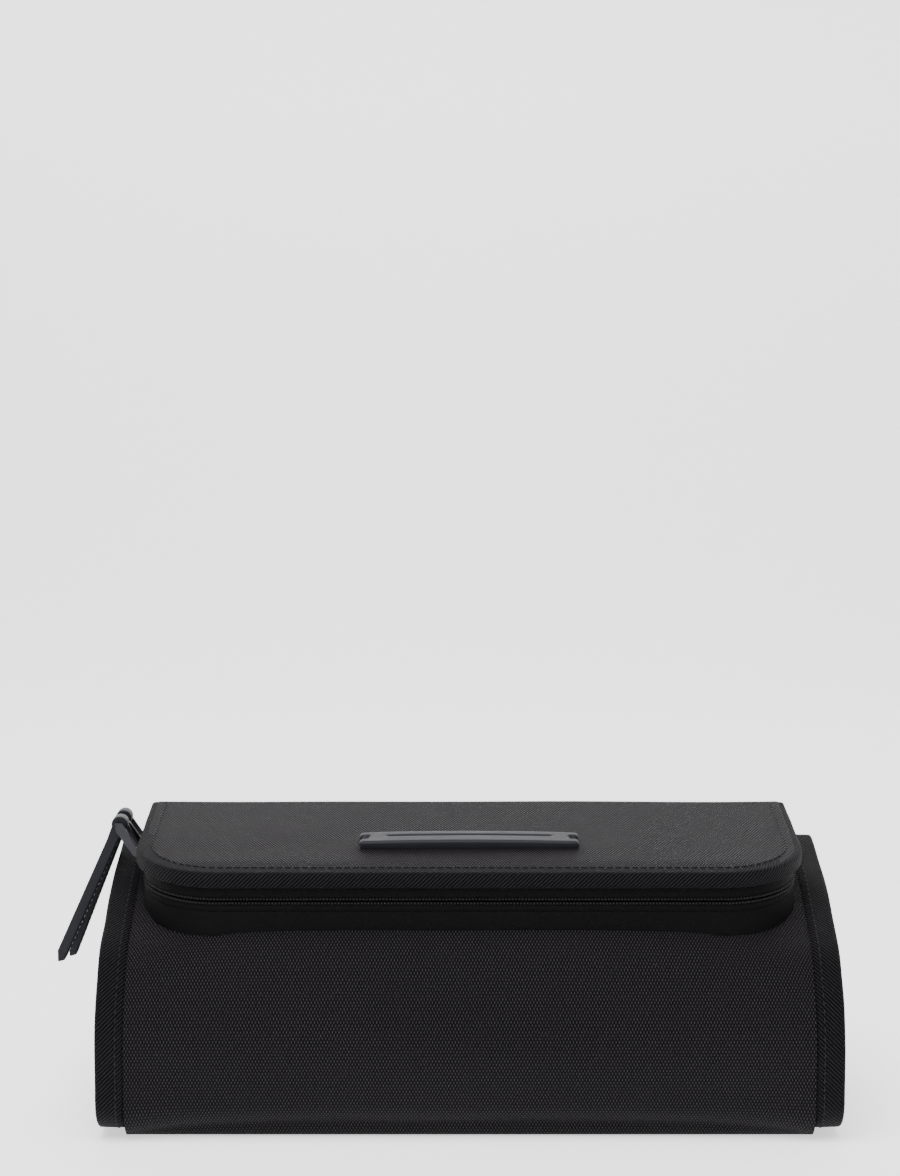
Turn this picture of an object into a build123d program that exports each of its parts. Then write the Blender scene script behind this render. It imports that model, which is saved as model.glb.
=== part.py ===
from build123d import *
from math import atan2, cos, degrees, radians, sin
import os

os.makedirs("parts", exist_ok=True)

# A hanging toiletry bag, lying closed on its base. +X is the right end, -Y the front and +Z up.
# The origin is the middle of the underside. Lengths are in millimetres, angles in degrees.

# ---- overall sizes ----
body_width = 280.0          # over the two end flanges
body_depth = 104.0          # front of the body to its back
back_height = 99.0          # top back corner of the side outline
flange_width = 10.8         # how far each bound seam stands out beyond its end panel
flange_thickness = 2.8      # the folded binding, measured across
flange_lift = 3.0           # the flanges stay this far above the floor

# ---- cloth and board ----
wall = 1.6                  # outer cloth with its backing
lining = 0.7
board = 1.8
sewing_gap = 0.3            # cloth that lies beside other cloth without being sewn to it
moving_gap = 0.4            # anything that has to move past something else
running_gap = 0.06          # radial clearance of a pin or stem in its hole

# ---- side outline ----
front_y = -body_depth / 2
back_y = body_depth / 2
front_foot_radius = 14.0
front_bend = 46.0           # height where the front starts to lean back
front_bend_radius = 40.0
shoulder_in = 17.0          # the shoulder lies this far behind the front
shoulder_height = 69.0
shoulder_radius = 28.0
crest_in = 57.0
crest_height = 88.0
crest_radius = 100.0
back_top_radius = 6.0
back_foot_radius = 10.0
board_corner = 6.0
back_board_drop = 12.0      # back board stops this far below the top of the back

# ---- mouth, zip and lid ----
mouth_side_in = 14.0        # the mouth starts this far in from the bag's ends
mouth_front_in = 19.0       # the mouth starts this far behind the front of the body
mouth_back_in = 6.0
mouth_corner_radius = 30.0
collar_thickness = 1.4
collar_depth = 6.0          # how far the collar reaches down inside the body
mouth_cut_below = 30.0      # tools that cut the mouth start this far below the shoulder
collar_below = 20.0         # and the walls round the mouth this far below it
collar_above = 10.0
zip_front_height = 88.0     # middle line of the zip, at the front of the mouth
zip_back_height = 100.5     # and at the back
tape_thickness = 0.8
lower_tape = 1.55           # lower zip tape that shows under its coil
coil_height = 1.0
coil_width = 2.0
coil_split = 0.9            # between the two coils, where the slider's post runs

lid_side_over = 2.0         # the lid reaches this far out past the mouth
lid_front_height = 94.0     # underside of the lid, at its front edge
lid_back_height = 104.5     # and at its back edge
lid_front_over = 1.0        # the lid reaches this far in front of the mouth
lid_back_in = 1.0
lid_corner_radius = 33.0
lid_thickness = 5.0
lid_skin = 1.4
board_inset = 6.0
binding_out = 1.2           # binding thickness outside the lid's edge
binding_cover = 6.5         # how far the binding reaches in over the lid
binding_skin = 0.6
hinge_height = 101.8
hinge_gap = 0.1
hinge_end_in = 6.0          # hinge strip stops this far in from the lid's sides

# ---- grip bar on the lid ----
bar_length = 85.0
bar_width = 12.7
bar_height = 3.6
bar_back_in = 53.4          # its middle, in front of the back
bar_corner = 2.5
bar_notch = 2.2
bar_notch_width = 4.9
bar_groove_margin = 9.0     # groove stops this far from the bar's ends
bar_groove_width = 2.2
bar_groove_depth = 0.6
bar_post_radius = 1.6
bar_post_spacing = 66.0
washer_thickness = 0.8      # cloth left under each post

# ---- sliders and pulls ----
slider_front_in = 34.0      # sliders stand this far in front of the back
slider_rear_in = 21.0
slider_length = 11.0
slider_low = 2.6            # plates below the zip's middle line
slider_high = 3.4           # and above it
plate_thickness = 1.2
plate_corner = 1.6
post_thickness = 0.5
post_low = 0.4              # post between the plates, above the zip's middle line
post_high = 4.4
bail_bar_radius = 0.9
bail_span = 10.4
bail_leg = 1.3
bail_wrap = 1.3             # arm metal round the pull's bar, inward and outward
bail_over = 0.9             # and above it
bail_under = 2.4
bail_foot_top = 2.4         # arm's root on the slider plate
bail_foot_low = 1.2
bail_knee = 3.4             # the arm bends this far out from the plate
bail_arm_depth = 1.0
pull_length = 61.5
pull_thickness = 4.2
pull_width = 7.0
pull_knuckle_radius = 3.2
pull_bar_out = 12.0         # pull's bar, outward from the zip line
pull_bar_height = 108.0
pull_lean_front = 24.3
pull_lean_rear = 21.5
pull_tip_slant = 5.0        # the tail is cut at a slant, over this length
pull_tip_front = 2.0
pull_tip_rise = 1.2
stop_length = 3.0
stop_thickness = 1.0

# ---- pockets ----
mesh = 0.8
back_pocket_gap = 5.6
back_pocket_in = 18.0       # pocket ends, in from the mouth's
back_pocket_bottom = 14.0
back_pocket_top = 66.0
trim_height = 6.0
trim_thickness = 1.6
lid_pocket_in = 28.0        # pocket ends, in from the lid's
lid_pocket_depth = 7.0
lid_pocket_front_in = 8.0   # pocket starts this far behind the lid's front
lid_pocket_clear = 20.0     # pocket ends this far in front of the hook
lid_pocket_corner_most = 8.0
lid_trim_in = 8.0           # lid pocket's edge trim stops short of its corners
lid_trim_corner = 0.5

# ---- hook ----
hook_in = 30.0              # hook this far in front of the back
hook_drop = 5.5             # fold pin below the lid's lining
hook_patch_length = 44.0
hook_patch_width = 24.0
hook_patch_thickness = 1.2
bracket_length = 30.0
bracket_width = 12.0
bracket_thickness = 1.2
lug_thickness = 2.0
lug_spacing = 7.0           # between the inner faces of the two lugs
lug_radius = 3.4
fold_pin_radius = 1.2
yoke_radius = 3.6
yoke_height = 9.0
stem_radius = 1.5
hook_wire_radius = 2.0
hook_bend_radius = 12.0
hook_stem_length = 26.0
rivet_head_radius = 2.6
rivet_head_height = 0.8
rivet_inset = 4.0           # rivets in from the bracket's ends
patch_corner = 4.0
bracket_corner = 3.0
lug_root = 1.2              # lug that runs up into the bracket plate
yoke_side_gap = 0.3         # between the yoke's tongue and each lug
yoke_roof = 2.0             # metal left over the stem's hole
neck_radius = 6.0           # bends between the stem and the hook
neck_drop = 4.0             # straight stem below the yoke
hook_tip_turn = 205.0

# ---- worked out from the above ----
end_x = body_width / 2 - flange_width
mouth_half = body_width / 2 - mouth_side_in
lid_half = mouth_half + lid_side_over
back_pocket_half = mouth_half - back_pocket_in
lid_pocket_half = lid_half - lid_pocket_in
slider_front_y = back_y - slider_front_in
slider_rear_y = back_y - slider_rear_in
hook_y = back_y - hook_in
bar_middle = back_y - bar_back_in
mouth_front = front_y + mouth_front_in
mouth_back = back_y - mouth_back_in
lid_back = back_y - lid_back_in
lid_front = mouth_front - lid_front_over
lid_pocket_front = lid_front + lid_pocket_front_in
lid_pocket_back = hook_y - lid_pocket_clear
lid_pocket_corner = min(lid_pocket_corner_most, (lid_pocket_back - lid_pocket_front) / 3)
zip_tilt = degrees(atan2(zip_back_height - zip_front_height, lid_back - lid_front))
lid_tilt = degrees(atan2(lid_back_height - lid_front_height, lid_back - lid_front))
back_inside = back_y - wall - board - lining


def tilted(height, tilt):
    """Plane through the lid's back edge at a height, falling towards the front."""
    up = (0, -sin(radians(tilt)), cos(radians(tilt)))
    return Plane(origin=(0, lid_back, height), x_dir=(1, 0, 0), z_dir=up)


zip_plane = tilted(zip_back_height, zip_tilt)
lid_plane = tilted(lid_back_height, lid_tilt)


def height_on(plane, y):
    """Height of a tilted plane at a depth y."""
    return plane.origin.Z + (y - plane.origin.Y) * -plane.z_dir.Y / plane.z_dir.Z


def side_corners(foot):
    """Corners and corner radii of the side outline, as (y, z), from the front foot upwards."""
    corners = [
        (front_y, foot),
        (front_y, front_bend),
        (front_y + shoulder_in, shoulder_height),
        (front_y + crest_in, crest_height),
        (back_y, back_height),
        (back_y, foot),
    ]
    radii = [
        front_foot_radius,
        front_bend_radius,
        shoulder_radius,
        crest_radius,
        back_top_radius,
        back_foot_radius,
    ]
    return corners, radii


def side_sketch(x, inset, foot=0.0, boards=False):
    """Side outline on the plane at x, drawn in by an inset, and kept inside the boards if asked."""
    corners, radii = side_corners(foot)
    low = board + inset
    far = back_y - board - inset
    with BuildSketch(Plane.YZ.offset(x)) as sketch:
        with BuildLine():
            FilletPolyline(*corners, radius=radii, close=True)
        make_face()
        if inset > 0:
            offset(amount=-inset, kind=Kind.INTERSECTION, mode=Mode.REPLACE)
        if boards:
            with Locations((far - body_depth / 2, low + body_depth / 2)):
                Rectangle(body_depth, body_depth, mode=Mode.INTERSECT)
    return sketch.sketch


def mouth_sketch(inset=0.0, back=mouth_back, height=0.0):
    """Mouth outline seen from above: straight back edge, two round front corners."""
    half = mouth_half - inset
    front = mouth_front + inset
    with BuildSketch(Plane.XY.offset(height)) as sketch:
        with Locations((0, (front + back) / 2)):
            outline = Rectangle(2 * half, back - front)
        fillet(outline.vertices().group_by(Axis.Y)[0], radius=mouth_corner_radius - inset)
    return sketch.sketch


def cut_mouth():
    """Cut the mouth down through the top of the active part."""
    low = shoulder_height - mouth_cut_below
    extrude(mouth_sketch(height=low), amount=body_depth, mode=Mode.SUBTRACT)


def u_wall(outer, inner, low, high):
    """Standing wall round the front and sides of the mouth, with a plain open back."""
    with BuildPart() as standing:
        extrude(mouth_sketch(outer, height=low), amount=high - low)
        extrude(mouth_sketch(inner, back=back_y, height=low), amount=high - low, mode=Mode.SUBTRACT)
    return standing.part


def finish(part, name):
    """Name a piece and write it to its own file."""
    part.label = name
    export_step(part, f"parts/{name}.step")


# ---------------- body ----------------

with BuildPart() as wrap_panel:
    extrude(side_sketch(-end_x, 0), amount=2 * end_x)
    extrude(side_sketch(-end_x, wall), amount=2 * end_x, mode=Mode.SUBTRACT)
    cut_mouth()
finish(wrap_panel.part, "wrap_panel")

with BuildPart() as body_lining:
    around = side_sketch(-end_x + wall + lining, wall, boards=True)
    extrude(around, amount=2 * (end_x - wall - lining))
    inside = side_sketch(-end_x + wall + lining, wall + lining, boards=True)
    extrude(inside, amount=2 * (end_x - wall - lining), mode=Mode.SUBTRACT)
    cut_mouth()
finish(body_lining.part, "body_lining")

base_front = front_y + front_foot_radius
base_back = back_y - back_foot_radius
board_width = 2 * (end_x - wall - lining - sewing_gap)
with BuildPart() as base_board:
    with BuildSketch(Plane.XY.offset(wall)):
        with Locations((0, (base_front + base_back) / 2)):
            RectangleRounded(board_width, base_back - base_front, board_corner)
    extrude(amount=board)
finish(base_board.part, "base_board")

back_board_low = back_foot_radius
back_board_high = back_height - back_board_drop
with BuildPart() as back_board:
    with BuildSketch(Plane.XZ.offset(-back_y + wall + board)):
        with Locations((0, (back_board_low + back_board_high) / 2)):
            RectangleRounded(board_width, back_board_high - back_board_low, board_corner)
    extrude(amount=-board)
finish(back_board.part, "back_board")

for side, name in ((-1, "left"), (1, "right")):
    outer_face = side * end_x
    with BuildPart() as end_panel:
        extrude(side_sketch(outer_face, wall), amount=-side * wall)
        cut_mouth()
    finish(end_panel.part, f"end_panel_{name}")

    with BuildPart() as end_lining:
        extrude(side_sketch(outer_face - side * wall, wall), amount=-side * lining)
        cut_mouth()
    finish(end_lining.part, f"end_lining_{name}")

    with BuildPart() as end_flange:
        extrude(side_sketch(outer_face, 0, flange_lift), amount=side * flange_width)
        hollow = side_sketch(outer_face, flange_thickness, flange_lift)
        extrude(hollow, amount=side * flange_width, mode=Mode.SUBTRACT)
    finish(end_flange.part, f"end_flange_{name}")

collar_low = shoulder_height - collar_below
collar_high = lid_back_height + collar_above
collar_top = zip_plane.offset(-coil_split / 2 - coil_height - lower_tape)
with BuildPart() as mouth_collar:
    add(u_wall(0, collar_thickness, collar_low, collar_high))
    split(bisect_by=collar_top, keep=Keep.BOTTOM)
    extrude(side_sketch(-end_x, collar_depth), amount=2 * end_x, mode=Mode.SUBTRACT)
finish(mouth_collar.part, "mouth_collar")

with BuildPart() as zip_tape_lower:
    add(u_wall(sewing_gap, sewing_gap + tape_thickness, collar_low, collar_high))
    split(bisect_by=collar_top, keep=Keep.TOP)
    split(bisect_by=zip_plane.offset(-coil_split / 2 - coil_height), keep=Keep.BOTTOM)
finish(zip_tape_lower.part, "zip_tape_lower")

coil_out = sewing_gap + tape_thickness / 2 - coil_width / 2
coil_in = coil_out + coil_width
with BuildPart() as zip_coil_lower:
    add(u_wall(coil_out, coil_in, collar_low, collar_high))
    split(bisect_by=zip_plane.offset(-coil_split / 2 - coil_height), keep=Keep.TOP)
    split(bisect_by=zip_plane.offset(-coil_split / 2), keep=Keep.BOTTOM)
finish(zip_coil_lower.part, "zip_coil_lower")

# Back edge of the mouth: a strip of cloth joins the body to the lid, half on each side of the fold.
hinge_half = lid_half - hinge_end_in
with BuildPart() as hinge_strip_body:
    with BuildSketch(Plane.XY.offset(back_height - back_top_radius)):
        with Locations((0, back_y - lid_back_in / 2)):
            Rectangle(2 * hinge_half, lid_back_in)
    extrude(amount=hinge_height - hinge_gap - back_height + back_top_radius)
    extrude(side_sketch(-end_x, 0), amount=2 * end_x, mode=Mode.SUBTRACT)
finish(hinge_strip_body.part, "hinge_strip_body")

pocket_face = back_inside - back_pocket_gap
with BuildPart() as back_pocket:
    with BuildSketch(Plane.XY.offset(back_pocket_bottom)):
        with Locations((0, (pocket_face - mesh + back_inside) / 2)):
            Rectangle(2 * back_pocket_half, back_inside - pocket_face + mesh)
    extrude(amount=back_pocket_top - back_pocket_bottom)
    with BuildSketch(Plane.XY.offset(back_pocket_bottom + mesh)):
        with Locations((0, (pocket_face + back_inside) / 2)):
            Rectangle(2 * (back_pocket_half - mesh), back_inside - pocket_face)
    extrude(amount=back_pocket_top, mode=Mode.SUBTRACT)
finish(back_pocket.part, "back_pocket")

with BuildPart() as back_pocket_trim:
    with BuildSketch(Plane.XY.offset(back_pocket_top - trim_height)):
        with Locations((0, pocket_face - mesh - trim_thickness / 2)):
            Rectangle(2 * back_pocket_half, trim_thickness)
    extrude(amount=trim_height)
    fillet(back_pocket_trim.edges().filter_by(Axis.X), radius=trim_thickness / 3)
finish(back_pocket_trim.part, "back_pocket_trim")

# ---------------- lid ----------------

lid_length = (lid_back - lid_front) / cos(radians(lid_tilt))


def lid_sketch(grow=0.0, height=0.0, back_grow=0.0):
    """Lid outline on its own plane: straight back edge, two round front corners."""
    length = lid_length + grow + back_grow
    with BuildSketch(lid_plane.offset(height)) as sketch:
        with Locations((0, back_grow - length / 2)):
            outline = Rectangle(2 * (lid_half + grow), length)
        fillet(outline.vertices().group_by(Axis.Y)[0], radius=lid_corner_radius + grow)
    return sketch.sketch


def lid_slab(x_half, y_low, y_high, height, thickness, radius):
    """Rounded slab on the lid's plane, from one depth to another."""
    with BuildPart() as slab:
        with BuildSketch(lid_plane.offset(height)):
            with Locations((0, (y_low + y_high) / 2)):
                RectangleRounded(2 * x_half, y_high - y_low, radius)
        extrude(amount=thickness)
    return slab.part


def on_lid(y):
    """Distance along the lid's plane of a depth y."""
    return (y - lid_back) / cos(radians(lid_tilt))


board_half = lid_half - board_inset
board_slab = (board_half, -lid_length + board_inset, -board_inset)
with BuildPart() as lid_panel:
    extrude(lid_sketch(height=lining), amount=lid_thickness - lining)
    add(lid_slab(*board_slab, lining, lid_thickness - lining - lid_skin, lid_corner_radius - board_inset),
        mode=Mode.SUBTRACT)
    with Locations(lid_plane.offset(lid_thickness)):
        with Locations((-bar_post_spacing / 2, on_lid(bar_middle)), (bar_post_spacing / 2, on_lid(bar_middle))):
            Cylinder(bar_post_radius, 4 * lid_thickness, mode=Mode.SUBTRACT)
finish(lid_panel.part, "lid_panel")

with BuildPart() as lid_board:
    add(lid_slab(board_half - sewing_gap, -lid_length + board_inset + sewing_gap, -board_inset - sewing_gap,
                 lining, board, lid_corner_radius - board_inset))
finish(lid_board.part, "lid_board")

foam = lid_thickness - lid_skin - lining - board
with BuildPart() as lid_foam:
    add(lid_slab(board_half - sewing_gap, -lid_length + board_inset + sewing_gap, -board_inset - sewing_gap,
                 lining + board, foam, lid_corner_radius - board_inset))
    with Locations(lid_plane.offset(lid_thickness)):
        with Locations((-bar_post_spacing / 2, on_lid(bar_middle)), (bar_post_spacing / 2, on_lid(bar_middle))):
            Cylinder(bar_post_radius, 4 * lid_thickness, mode=Mode.SUBTRACT)
finish(lid_foam.part, "lid_foam")

with BuildPart() as lid_lining:
    extrude(lid_sketch(), amount=lining)
finish(lid_lining.part, "lid_lining")

with BuildPart() as lid_binding:
    extrude(lid_sketch(binding_out, -binding_skin, -binding_out), amount=lid_thickness + 2 * binding_skin)
    extrude(lid_sketch(0, 0, 1), amount=lid_thickness, mode=Mode.SUBTRACT)
    extrude(lid_sketch(-binding_cover, -lid_thickness, 2 * binding_cover), amount=3 * lid_thickness,
            mode=Mode.SUBTRACT)
finish(lid_binding.part, "lid_binding")

upper_start = zip_plane.offset(coil_split / 2 + coil_height)
with BuildPart() as zip_tape_upper:
    add(u_wall(sewing_gap, sewing_gap + tape_thickness, collar_low, collar_high))
    split(bisect_by=upper_start, keep=Keep.TOP)
    split(bisect_by=lid_plane.offset(-binding_skin), keep=Keep.BOTTOM)
finish(zip_tape_upper.part, "zip_tape_upper")

with BuildPart() as zip_coil_upper:
    add(u_wall(coil_out, coil_in, collar_low, collar_high))
    split(bisect_by=upper_start, keep=Keep.BOTTOM)
    split(bisect_by=zip_plane.offset(coil_split / 2), keep=Keep.TOP)
finish(zip_coil_upper.part, "zip_coil_upper")

with BuildPart() as hinge_strip_lid:
    with BuildSketch(Plane.XY.offset(hinge_height)):
        with Locations((0, back_y - lid_back_in / 2)):
            Rectangle(2 * hinge_half, lid_back_in)
    extrude(amount=height_on(lid_plane, lid_back) + lid_thickness - lid_skin - hinge_height)
finish(hinge_strip_lid.part, "hinge_strip_lid")

# Grip bar: a moulded strip with a shallow groove, held by two posts that go through the lid.
bar_plane = lid_plane.offset(lid_thickness)
with BuildPart() as grip_bar:
    with BuildSketch(bar_plane):
        with Locations((0, on_lid(bar_middle))):
            RectangleRounded(bar_length, bar_width, bar_corner)
            with Locations((-bar_length / 2, 0), (bar_length / 2, 0)):
                Rectangle(2 * bar_notch, bar_notch_width, mode=Mode.SUBTRACT)
    extrude(amount=bar_height)
    with BuildSketch(bar_plane.offset(bar_height)):
        with Locations((0, on_lid(bar_middle))):
            SlotOverall(bar_length - 2 * bar_groove_margin, bar_groove_width)
    extrude(amount=-bar_groove_depth, mode=Mode.SUBTRACT)
finish(grip_bar.part, "grip_bar")

post_bottom = lining + board
with BuildPart() as bar_posts:
    with BuildSketch(lid_plane.offset(post_bottom + washer_thickness)):
        with Locations((-bar_post_spacing / 2, on_lid(bar_middle)), (bar_post_spacing / 2, on_lid(bar_middle))):
            Circle(bar_post_radius)
    extrude(amount=lid_thickness - post_bottom - washer_thickness)
finish(bar_posts.part, "bar_posts")

# Hook mounting under the lid.


def under_lid_slab(x_size, y_size, top, thickness, radius):
    """Rounded slab hanging under the lid about the hook's place."""
    with BuildPart() as slab:
        with BuildSketch(lid_plane.offset(-top)):
            with Locations((0, on_lid(hook_y))):
                RectangleRounded(x_size, y_size, radius)
        extrude(amount=-thickness)
    return slab.part


rivet_x = bracket_length / 2 - rivet_inset
with BuildPart() as hook_patch:
    add(under_lid_slab(hook_patch_length, hook_patch_width, 0, hook_patch_thickness, patch_corner))
finish(hook_patch.part, "hook_patch")

pin_height = height_on(lid_plane, hook_y) - hook_drop - hook_patch_thickness
bracket_under = hook_patch_thickness + bracket_thickness
with BuildPart() as hook_bracket:
    add(under_lid_slab(bracket_length, bracket_width, hook_patch_thickness, bracket_thickness, bracket_corner))
    for side in (-1, 1):
        with BuildSketch(Plane.YZ.offset(side * lug_spacing / 2)):
            with Locations((hook_y, pin_height)):
                Circle(lug_radius)
            with Locations((hook_y, pin_height + lug_radius / 2)):
                Rectangle(2 * lug_radius, lug_radius + lug_root)
        extrude(amount=side * lug_thickness)
    with BuildSketch(Plane.YZ.offset(-lug_spacing)):
        with Locations((hook_y, pin_height)):
            Circle(fold_pin_radius)
    extrude(amount=2 * lug_spacing, mode=Mode.SUBTRACT)
    split(bisect_by=lid_plane.offset(-hook_patch_thickness), keep=Keep.BOTTOM)
finish(hook_bracket.part, "hook_bracket")

with BuildPart() as bracket_rivets:
    with BuildSketch(lid_plane.offset(-bracket_under)):
        with Locations((-rivet_x, on_lid(hook_y)), (rivet_x, on_lid(hook_y))):
            Circle(rivet_head_radius)
    extrude(amount=-rivet_head_height)
finish(bracket_rivets.part, "bracket_rivets")

with BuildPart() as fold_pin:
    with BuildSketch(Plane.YZ.offset(-lug_spacing / 2 - lug_thickness)):
        with Locations((hook_y, pin_height)):
            Circle(fold_pin_radius)
    extrude(amount=lug_spacing + 2 * lug_thickness)
finish(fold_pin.part, "fold_pin")

# Yoke: turns on the fold pin and carries the hook's stem, which turns inside it.
yoke_low = pin_height - yoke_height
stem_hole = yoke_height - lug_radius - yoke_roof
with BuildPart() as hook_yoke:
    with BuildSketch(Plane.XY.offset(yoke_low)):
        with Locations((0, hook_y)):
            Circle(yoke_radius)
    extrude(amount=yoke_height - yoke_radius)
    with BuildSketch(Plane.YZ.offset(-lug_spacing / 2 + yoke_side_gap)):
        with Locations((hook_y, pin_height)):
            Circle(lug_radius)
        with Locations((hook_y, pin_height - yoke_height / 4)):
            Rectangle(2 * lug_radius - 1, yoke_height / 2)
    extrude(amount=lug_spacing - 2 * yoke_side_gap)
    with BuildSketch(Plane.YZ.offset(-lug_spacing)):
        with Locations((hook_y, pin_height)):
            Circle(fold_pin_radius + running_gap)
    extrude(amount=2 * lug_spacing, mode=Mode.SUBTRACT)
    with BuildSketch(Plane.XY.offset(yoke_low)):
        with Locations((0, hook_y)):
            Circle(stem_radius + running_gap)
    extrude(amount=stem_hole, mode=Mode.SUBTRACT)
finish(hook_yoke.part, "hook_yoke")

stem_top = yoke_low + stem_hole - moving_gap
neck_z = yoke_low - neck_drop
bend_z = yoke_low - hook_stem_length
with BuildPart() as hook:
    with BuildLine(Plane.XZ.offset(-hook_y)):
        FilletPolyline(
            (0, stem_top),
            (0, neck_z),
            (-hook_bend_radius, neck_z - hook_bend_radius),
            (-hook_bend_radius, bend_z),
            radius=neck_radius,
        )
        CenterArc((0, bend_z), hook_bend_radius, 180, hook_tip_turn)
    with BuildSketch(Plane.XY.offset(stem_top)):
        with Locations((0, hook_y)):
            Circle(stem_radius)
    sweep()
    tip_angle = radians(180 + hook_tip_turn)
    with Locations((hook_bend_radius * cos(tip_angle), hook_y, bend_z + hook_bend_radius * sin(tip_angle))):
        Sphere(hook_wire_radius)
finish(hook.part, "hook")

with BuildPart() as lid_pocket:
    add(lid_slab(lid_pocket_half, on_lid(lid_pocket_front), on_lid(lid_pocket_back),
                 -lid_pocket_depth, lid_pocket_depth, lid_pocket_corner))
    add(lid_slab(lid_pocket_half - mesh, on_lid(lid_pocket_front) + mesh,
                 on_lid(lid_pocket_back) + lid_pocket_corner,
                 mesh - lid_pocket_depth, lid_pocket_depth, lid_pocket_corner), mode=Mode.SUBTRACT)
finish(lid_pocket.part, "lid_pocket")

with BuildPart() as lid_pocket_trim:
    add(lid_slab(lid_pocket_half - lid_trim_in, on_lid(lid_pocket_back) - trim_height, on_lid(lid_pocket_back),
                 -lid_pocket_depth - trim_thickness / 2, trim_thickness / 2, lid_trim_corner))
finish(lid_pocket_trim.part, "lid_pocket_trim")

# ---------------- zip ends, sliders and pulls ----------------

stop_y = mouth_back - stop_length
with BuildPart() as zip_stops:
    for side in (-1, 1):
        with BuildSketch(Plane.YZ.offset(side * (mouth_half - coil_out + sewing_gap))):
            middle = height_on(zip_plane, stop_y)
            with Locations((stop_y, middle - coil_split / 2 - coil_height / 2)):
                Rectangle(stop_length, coil_height)
        extrude(amount=side * stop_thickness)
finish(zip_stops.part, "zip_stops")


def slider_plane(y):
    """Plane across the track at a depth y on the left run: local x is +X, local y runs along the zip."""
    origin = (-mouth_half, y, height_on(zip_plane, y))
    return Plane(origin=origin, x_dir=(1, 0, 0), z_dir=zip_plane.z_dir)


def plate(plane, x_start, amount):
    """One slider plate, standing beside the coils."""
    face = Plane(origin=plane.from_local_coords((x_start, 0, 0)), x_dir=plane.y_dir, z_dir=(1, 0, 0))
    with BuildPart() as flat:
        with BuildSketch(face):
            with Locations((0, (slider_high - slider_low) / 2)):
                RectangleRounded(slider_length, slider_high + slider_low, plate_corner)
        extrude(amount=amount)
    return flat.part


outer_plate = coil_out - moving_gap
inner_plate = coil_in + moving_gap
for name, y, lean in (("front", slider_front_y, pull_lean_front), ("rear", slider_rear_y, pull_lean_rear)):
    track = slider_plane(y)
    with BuildPart() as slider:
        add(plate(track, outer_plate, -plate_thickness))
        add(plate(track, inner_plate, plate_thickness))
        with BuildSketch(track.offset(-post_thickness / 2)):
            with Locations(((outer_plate + inner_plate) / 2, (post_low + post_high) / 2)):
                Rectangle(inner_plate - outer_plate, post_high - post_low)
        extrude(amount=post_thickness)
    finish(slider.part, f"slider_{name}")

    # Bail: a flat arm each side rises from the outer plate and holds the pull's bar clear of the lid.
    foot_x, foot_z = -mouth_half + outer_plate - plate_thickness, height_on(zip_plane, y)
    bar_x, bar_z = -mouth_half - pull_bar_out, pull_bar_height
    with BuildPart() as bail:
        for end in (-1, 1):
            with BuildSketch(Plane.XZ.offset(-y - end * (bail_span / 2 - bail_leg / 2) - bail_leg / 2)):
                with BuildLine():
                    Polyline(
                        (foot_x, foot_z + bail_foot_top),
                        (foot_x - bail_knee, foot_z + bail_foot_top + bail_arm_depth),
                        (bar_x + bail_wrap, bar_z + bail_over),
                        (bar_x - bail_wrap, bar_z + bail_over),
                        (bar_x - bail_wrap, bar_z - bail_under),
                        (foot_x - bail_knee - bail_arm_depth, foot_z),
                        (foot_x, foot_z - bail_foot_low),
                        close=True,
                    )
                make_face()
            extrude(amount=bail_leg)
        with BuildSketch(Plane.XZ.offset(-y - bail_span / 2)):
            with Locations((bar_x, bar_z)):
                Circle(bail_bar_radius)
        extrude(amount=bail_span)
    finish(bail.part, f"bail_{name}")

    down = Plane(origin=(bar_x, y, bar_z), x_dir=(0, 1, 0), z_dir=(-sin(radians(lean)), 0, -cos(radians(lean))))
    across = Plane(origin=(bar_x, y, bar_z), x_dir=down.z_dir, z_dir=(0, 1, 0))
    with BuildPart() as pull:
        with BuildSketch(across.offset(-pull_width / 2)):
            Circle(pull_knuckle_radius)
            with BuildLine():
                Polyline(
                    (0, -pull_thickness / 2),
                    (pull_length - pull_tip_slant, -pull_thickness / 2),
                    (pull_length, -pull_thickness / 2 + pull_tip_rise),
                    (pull_length - pull_tip_front, pull_thickness / 2),
                    (0, pull_thickness / 2),
                    close=True,
                )
            make_face()
            Circle(bail_bar_radius + running_gap, mode=Mode.SUBTRACT)
        extrude(amount=pull_width)
    finish(pull.part, f"pull_{name}")
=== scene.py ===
"""Hanging toiletry bag: cloth, bindings, zip, pulls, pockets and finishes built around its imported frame."""
import logging
import math
from dataclasses import dataclass
from enum import Enum
from typing import Callable, Sequence

import bpy
from mathutils import Matrix, Vector, noise


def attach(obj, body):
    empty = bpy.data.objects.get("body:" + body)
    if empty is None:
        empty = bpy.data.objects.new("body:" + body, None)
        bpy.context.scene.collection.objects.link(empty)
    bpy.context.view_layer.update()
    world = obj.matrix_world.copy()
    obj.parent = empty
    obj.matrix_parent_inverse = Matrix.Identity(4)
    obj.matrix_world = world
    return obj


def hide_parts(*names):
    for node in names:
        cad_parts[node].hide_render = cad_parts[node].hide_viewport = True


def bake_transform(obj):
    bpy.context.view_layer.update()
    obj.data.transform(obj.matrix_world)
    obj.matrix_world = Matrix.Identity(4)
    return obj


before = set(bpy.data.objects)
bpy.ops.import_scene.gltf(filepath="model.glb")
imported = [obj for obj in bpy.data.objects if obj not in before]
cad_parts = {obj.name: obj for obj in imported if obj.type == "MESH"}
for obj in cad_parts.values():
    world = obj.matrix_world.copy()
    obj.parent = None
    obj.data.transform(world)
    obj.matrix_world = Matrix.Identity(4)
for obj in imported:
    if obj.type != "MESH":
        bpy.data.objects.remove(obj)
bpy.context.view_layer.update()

LOG = logging.getLogger("toiletry_bag")
MM = 0.001
Point2 = tuple[float, float]
Row = list[Vector]


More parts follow.
